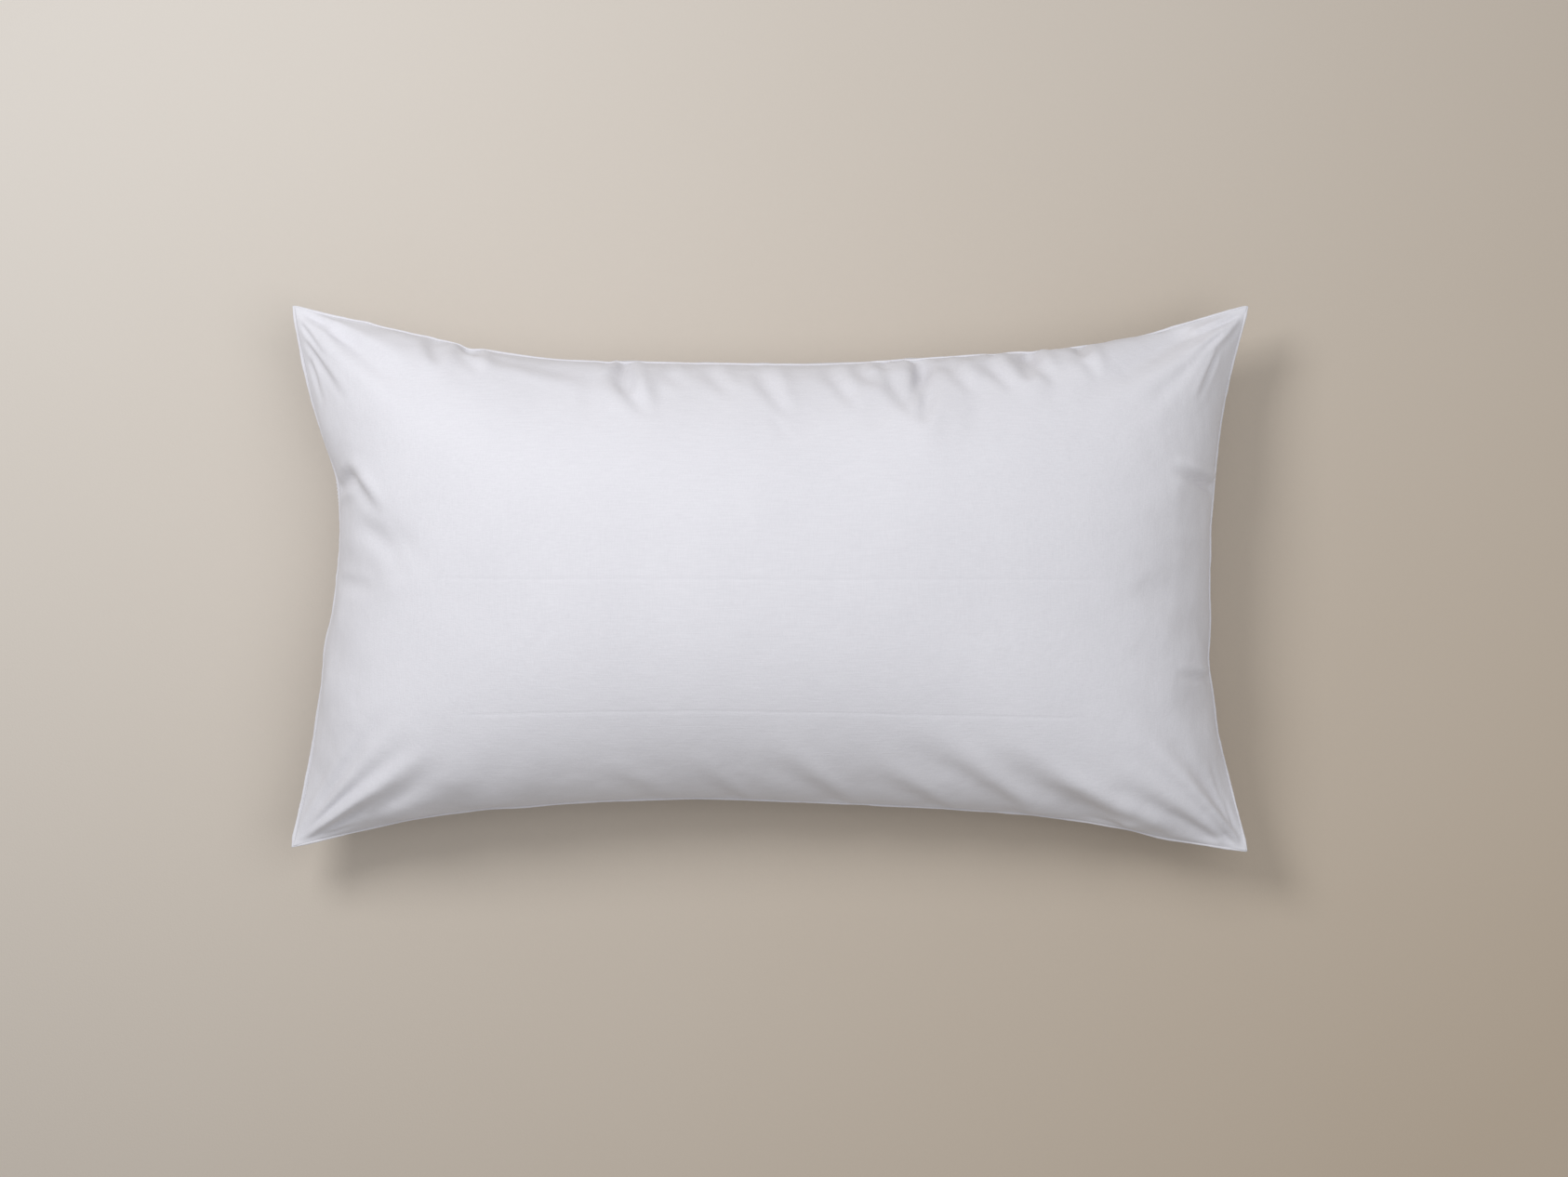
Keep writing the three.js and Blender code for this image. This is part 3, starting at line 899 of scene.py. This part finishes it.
def tabletop(name):
    """The plain matt surface under the pillow, with painted shade: darker and warmer towards its
    lower right.
    """
    look = Look(name, specular=0.15)
    mottle = look.noise(look.place, scale=3, detail=3)
    grain = look.noise(look.place, scale=500, detail=2)
    parts = look.node("ShaderNodeSeparateXYZ", Vector=look.place).outputs
    # Painted shade: the colour runs from light and cool at the upper left to dark and warm at the
    # lower right, as if less light fell there.
    shade_slope = look.mix(parts["X"], FLOOR_SHADE_SLOPE, parts["Y"], -FLOOR_SHADE_SLOPE)
    tone = look.math("ADD", shade_slope, look.between(mottle, 0.46, 0.54))
    colour = look.colours(tone, (0.0, FLOOR_PAINTED_LIGHT), (1.0, FLOOR_PAINTED_SHADE))
    look.bump(grain, 0.0001)
    return look.finish(colour, look.between(grain, 0.85, 0.95))


# ---- Pieces


def iron_creases(front, vs):
    """The two lines where the case was folded when it was ironed: shallow pressed grooves."""
    us = np.abs(front[..., 0]) / HALF_LENGTH
    for crease, reach in zip(IRONED, IRONED_REACH):
        row = int(np.argmin(np.abs(vs - crease)))
        front[:, row, 2] -= CREASE_DEPTH * (1 - smoothstep(us[:, row], reach - CREASE_FADE, reach))


def case_surfaces(bag):
    """The case's front and back, with folds and creases, and the flat places of their grids."""
    us, vs = graded(CASE_CELLS[0]), graded(CASE_CELLS[1], IRONED)
    front, back = sample(bag[0], us, vs), sample(bag[1], us, vs)
    from_rim = np.minimum((1 - np.abs(us))[:, None] * CUT_LENGTH, (1 - np.abs(vs)) * CUT_WIDTH) / 2
    press_all(front, HEAD_FOLDS, from_rim, FOLD_SHARE)
    press_all(front, CALMED_FOLDS, from_rim, CALMED_SHARE)
    press_all(back, corner_folds(), from_rim, -FOLD_SHARE)  # minus: its outside faces down
    add_crinkle(front, us, vs, 31)
    add_crinkle(back, us, vs, 32)
    back[..., 2] = np.maximum(back[..., 2], 0)
    iron_creases(front, vs)
    return front, back, us, vs


def case_panels(front, back, us, cotton):
    inset = edge_curve(FOLD_INSET, front[0, :, 1]) / CUT_LENGTH * 2
    front = pull_in(front, us, inset)
    slot = "case_cotton"
    front_piece = thin_shell("case_front", front, CLOTH, False, cotton, slot, "case_front_panel")
    back_piece = thin_shell("case_back", back, CLOTH, True, cotton, slot, "case_back_panel")
    return front, front_piece, back_piece


def pull_in(front, us, inset):
    """Moves the front's open end in from the back's, along the cloth."""
    near = ((1 - us) / 2) ** INSET_EASE
    moved = np.empty_like(front)
    for column in range(front.shape[1]):
        places = np.interp(us + inset[column] * near, us, np.arange(len(us)))
        moved[:, column] = cubic(front[:, column : column + 1], places, 0)[:, 0]
    return moved


def press_all(cloth, folds, from_rim, share):
    """Presses folds into a panel, but leaves its sewn rim where it is."""
    normal = surface_normal(cloth, False) * smoothstep(from_rim, 0, FOLD_FROM_RIM)[..., None]
    for fold in folds:
        press_fold(cloth, normal, fold, share)


def add_crinkle(cloth, us, vs, seed):
    """The faint unevenness of worn cloth, stronger near the seams."""
    waves = band_noise(*CRINKLE_CELLS, CRINKLE_SIZE, CRINKLE_SIZE, seed)
    fine = band_noise(*CRINKLE_CELLS, FINE_CRINKLE_SIZE, FINE_CRINKLE_SIZE, seed + 9)
    waves += FINE_CRINKLE_SHARE * fine
    waves = sample(waves[..., None], us, vs)
    edge = np.maximum(np.abs(us)[:, None], np.abs(vs))
    rise = CRINKLE_MIDDLE + (1 - CRINKLE_MIDDLE) * smoothstep(edge, *CRINKLE_RISE)
    size = CRINKLE * rise * (1 - smoothstep(edge, *CRINKLE_END))
    cloth += surface_normal(cloth, False) * waves * size[..., None]


def rolled_edge(name, path, half_width, half_height, material, slot, *nodes):
    """A sewn or folded edge: a soft flattened roll, uneven along its length, thin at its tips."""
    line = resample(path, EDGE_STATIONS)
    share = np.linspace(0, 1, EDGE_STATIONS)
    from_tip = smoothstep(np.minimum(share, 1 - share), 0, ROLL_TIP_SHARE)
    tips = ROLL_TIP + (1 - ROLL_TIP) * from_tip
    rng = np.random.default_rng(len(name))
    noise = rng.normal(size=EDGE_STATIONS + ROLL_WAVE - 1)
    waves = np.convolve(noise, np.ones(ROLL_WAVE) / ROLL_WAVE, "valid")
    uneven = tips * (1 + ROLL_UNEVEN * waves)
    up = np.tile([0.0, 0.0, 1.0], (EDGE_STATIONS, 1))
    points, faces = tube(line, up, half_width * uneven, half_height * uneven)
    return new_piece(name, points, faces, material, slot, *nodes)


def case_seams(front, back, seam_cotton):
    """The three turned seams and the rolled hem at the open end, just outside the panels' rims."""
    level = surface_normal(front, False) + surface_normal(back, True)
    level[..., 2] = 0
    rim = (front + back) / 2 + unit(level) * SEAM_PROUD
    w, h = SEAM_WIDTH / 2, SEAM_THICKNESS / 2
    hem = rim[0] + (HEM_EDGE_WIDTH / 2 - w * 0.8, 0, 0)
    hem_size = HEM_EDGE_WIDTH / 2, h * HEM_EDGE_FLATNESS
    slot = "case_seam"
    return [
        rolled_edge("seam_head", rim[:, -1], w, h, seam_cotton, slot, "case_seam_head"),
        rolled_edge("seam_foot", rim[:, 0], w, h, seam_cotton, slot, "case_seam_foot"),
        rolled_edge("seam_closed_end", rim[-1], w, h, seam_cotton, slot, "case_seam_closed_end"),
        rolled_edge("hem_edge", hem, *hem_size, seam_cotton, "case_cotton", "case_open_hem"),
    ]


def open_end(panels, fold_line, cotton, seam_cotton, sewing_thread):
    """The open end's hem, on the back panel, and the flap folded in from the front."""
    front, back, us, vs = panels
    slot = "case_cotton"
    middle = (front + back) / 2
    hem = patch(lining(front, middle, False, HEM_LAYER), us, vs, *HEM_PLACES)
    hem_piece = thin_shell("hem_band", hem, CLOTH, False, cotton, slot, "case_open_hem")
    flap = patch(lining(back, middle, True, FLAP_LAYER), us, vs, *FLAP_PLACES)
    flap_piece = thin_shell("tuck_flap", flap, CLOTH, True, cotton, slot, "case_tuck_flap")
    fold = fold_line - (0, 0, FOLD_RADIUS)
    fold_piece = rolled_edge(
        "front_fold", fold, FOLD_RADIUS, FOLD_RADIUS, seam_cotton, slot, "case_tuck_flap"
    )
    strip = patch(back, us, vs, *HEM_STITCH_PLACES)
    below = surface_normal(strip, True)[1]
    hem_row = stitches("hem_stitches", strip[1], below, sewing_thread, "case_hem_stitching")
    inside = -surface_normal(flap, True)[-2]
    row = flap[-2] + inside * STITCH_RADIUS * FLAP_STITCH_LIFT
    flap_row = stitches("flap_stitches", row, inside, sewing_thread, "case_flap_stitching")
    return [hem_piece, flap_piece, fold_piece, hem_row, flap_row]


def fill_body(panels, fluff):
    """The loose fibre: a lumpy body just inside the insert's ticking."""
    shortfall, clearance = INSERT_SHORTFALL + FILL_IN, INSERT_CLEARANCE + FILL_IN / 2
    middle, direction, reach = insert_surfaces(*panels, shortfall, clearance)
    lumps = np.abs(band_noise(*INSERT_CELLS, FILL_LUMP_SIZE, FILL_LUMP_SIZE, 41)) * FILL_LUMPS
    lumps *= smoothstep(reach, *FILL_LUMPS_RISE)
    reach = np.maximum(reach - FILL_GAP - lumps, FILL_LEAST)
    arm = direction * reach[..., None]
    return shell("fill_body", middle + arm, middle - arm, False, fluff, "fibre_fill", "fibre_fill")


def patch(surface, us, vs, along, across):
    """Part of a surface known at the places us by vs, on a smaller grid."""
    return scatter(surface, us, vs, *np.meshgrid(along, across, indexing="ij"))


def insert_surfaces(front, back, us, vs, shortfall, clearance):
    """The filled pillow inside the case: its shape made smooth and smaller, with round corners."""
    middle = (front + back) / 2
    arm = front - middle
    height = np.linalg.norm(arm, axis=-1)
    lowering, smoothing = ROOM_PASSES
    slack = blur(shrink(height, lowering), smoothing) - clearance
    direction = arm / (height[..., None] + 1e-9)
    a, b = flat_grid(*INSERT_CELLS)
    u = a * np.sqrt(1 - CORNER_ROUNDING * b**2) * (1 - 2 * shortfall / CUT_LENGTH)
    v = b * np.sqrt(1 - CORNER_ROUNDING * a**2) * (1 - 2 * shortfall / CUT_WIDTH)
    from_edge = np.minimum((1 - np.abs(a)) * CUT_LENGTH, (1 - np.abs(b)) * CUT_WIDTH) / 2
    t = np.clip(from_edge / INSERT_EDGE, 0, 1)
    swell = np.sqrt(1 - (1 - t) ** 2)
    packed = np.concatenate([middle, direction, slack[..., None]], -1)
    taken = scatter(packed, us, vs, u, v)
    taken[..., :2] *= INSERT_PLAN
    reach = np.maximum(taken[..., 6], INSERT_LEAST) * swell
    return taken[..., :3], taken[..., 3:6], reach


def scatter(field, us, vs, u, v):
    """A field known at the places us by vs, read at any other places by straight blending."""
    nx, ny = field.shape[0] - 1, field.shape[1] - 1
    x, y = np.interp(u, us, np.arange(nx + 1)), np.interp(v, vs, np.arange(ny + 1))
    i, j = np.clip(x.astype(int), 0, nx - 1), np.clip(y.astype(int), 0, ny - 1)
    p, q = (x - i)[..., None], (y - j)[..., None]
    low = field[i, j] * (1 - p) + field[i + 1, j] * p
    high = field[i, j + 1] * (1 - p) + field[i + 1, j + 1] * p
    return low * (1 - q) + high * q


def insert_pieces(panels, tick, seam_cotton, sewing_thread, label_tape, fluff):
    middle, direction, reach = insert_surfaces(*panels, INSERT_SHORTFALL, INSERT_CLEARANCE)
    gap = direction * INSERT_GAP
    top = middle + direction * reach[..., None] + gap
    bottom = middle - direction * reach[..., None] - gap
    ticking_slot = "insert_ticking"
    top_piece = thin_shell("insert_top", top, CLOTH, False, tick, ticking_slot, "insert_top_panel")
    bottom_piece = thin_shell(
        "insert_bottom", bottom, CLOTH, True, tick, ticking_slot, "insert_bottom_panel"
    )
    rim = once_round(middle)
    outward_rim = rim + unit(rim - middle.mean(axis=(0, 1))) * PIPING_RADIUS
    upright = np.array([0.0, 0.0, 1.0])
    rope = tube(outward_rim, upright, PIPING_RADIUS, PIPING_RADIUS, closed=True)
    piping = new_piece("insert_cord_edge", *rope, seam_cotton, ticking_slot, "insert_piping")
    normal = surface_normal(bottom, True)
    opening = slice(INSERT_CELLS[1] // 5, -INSERT_CELLS[1] // 5)
    row = (bottom + normal * STITCH_RADIUS)[CLOSING_ROW, opening]
    up = normal[CLOSING_ROW, opening]
    closing = stitches("closing_stitches", row, up, sewing_thread, "insert_closing_stitching")
    places = [np.linspace(-1, 1, cells + 1) for cells in INSERT_CELLS]
    size = np.multiply(INSERT_CUT, INSERT_PLAN)
    label = label_patch(
        "insert_label", top, *places, size, LABEL_LIFT, label_tape, "insert_care_label"
    )
    fill = fill_body(panels, fluff)
    return top_piece, bottom_piece, piping, closing, label, fill


def label_patch(name, wall, us, vs, wall_size, lift, tape, node):
    """A label that hangs from the foot seam over a wall, placed lengthwise as its CAD node is."""
    low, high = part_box(node)
    middle = (low[0] + high[0]) / 2 / HALF_LENGTH
    along = middle + np.linspace(-1, 1, LABEL_CELLS[0]) * LABEL_SIZE[0] / wall_size[0]
    across = -1 + LABEL_IN + np.linspace(0, 2, LABEL_CELLS[1]) * LABEL_SIZE[1] / wall_size[1]
    surface = patch(wall, us, vs, along, across)
    curl = np.linspace(0, 1, LABEL_CELLS[0])[:, None, None] ** 3 * LABEL_CURL
    surface += surface_normal(surface, False) * (lift + curl)
    return thin_shell(name, surface, LABEL_THICKNESS, False, tape, "label_tape", node)


# ---- Camera, light and floor


def add_camera():
    data = bpy.data.cameras.new("camera")
    data.lens = LENS
    camera = add_object("camera", data)
    camera.location = CAMERA
    bpy.context.scene.camera = camera


def add_light(name, location, size, energy):
    data = bpy.data.lights.new(name, "AREA")
    data.shape = "DISK"
    data.size = size
    data.energy = energy
    light = add_object(name, data)
    light.location = location
    light.rotation_mode = "QUATERNION"
    direction = Vector(LIT_PLACE) - light.location
    light.rotation_quaternion = direction.to_track_quat("-Z", "Y")


def add_stage():
    world = bpy.data.worlds.new("studio")
    world.use_nodes = True
    background = world.node_tree.nodes["Background"]
    background.inputs["Color"].default_value = (*SKY, 1)
    background.inputs["Strength"].default_value = SKY_STRENGTH
    bpy.context.scene.world = world
    bpy.context.scene.view_settings.view_transform = "Standard"
    mesh = bpy.data.meshes.new("floor")
    corners = ((-1, -1), (1, -1), (1, 1), (-1, 1))
    mesh.from_pydata([(x * FLOOR_HALF, y * FLOOR_HALF, 0) for x, y in corners], [], [(0, 1, 2, 3)])
    mesh.materials.append(tabletop("tabletop"))
    floor = add_object("floor", mesh)


# ---- Putting it together


def build():
    cotton = percale("cotton_percale", COTTON_DARK, COTTON_LIGHT, 0.0005)
    seam_cotton = percale("cotton_seam", COTTON_DARK, COTTON_LIGHT, 0.0003)
    sewing_thread = thread("sewing_thread")
    label_tape = satin("label_tape")
    tick = ticking("insert_ticking")
    fluff = fibre("fibre_fill")
    bag = fill_bag()
    calm(bag)
    fit_outline(bag)
    panels = case_surfaces(bag)
    front, front_piece, back_piece = case_panels(*panels[:3], cotton)
    seams = case_seams(*panels[:2], seam_cotton)
    ends = open_end(panels, front[0], cotton, seam_cotton, sewing_thread)
    wall = lining(panels[0], (panels[0] + panels[1]) / 2, False, CASE_LABEL_LAYER)
    size = CUT_LENGTH, CUT_WIDTH
    case_label = label_patch(
        "case_label", wall, *panels[2:], size, 0.0, label_tape, "case_care_label"
    )
    inside = insert_pieces(panels, tick, seam_cotton, sewing_thread, label_tape, fluff)
    for piece in (front_piece, back_piece, *seams, *ends, case_label, *inside):
        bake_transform(piece)


add_camera()
add_stage()
add_light("key", KEY_PLACE, KEY_SIZE, KEY_ENERGY)
add_light("fill", FILL_PLACE, FILL_SIZE, FILL_ENERGY)
build()
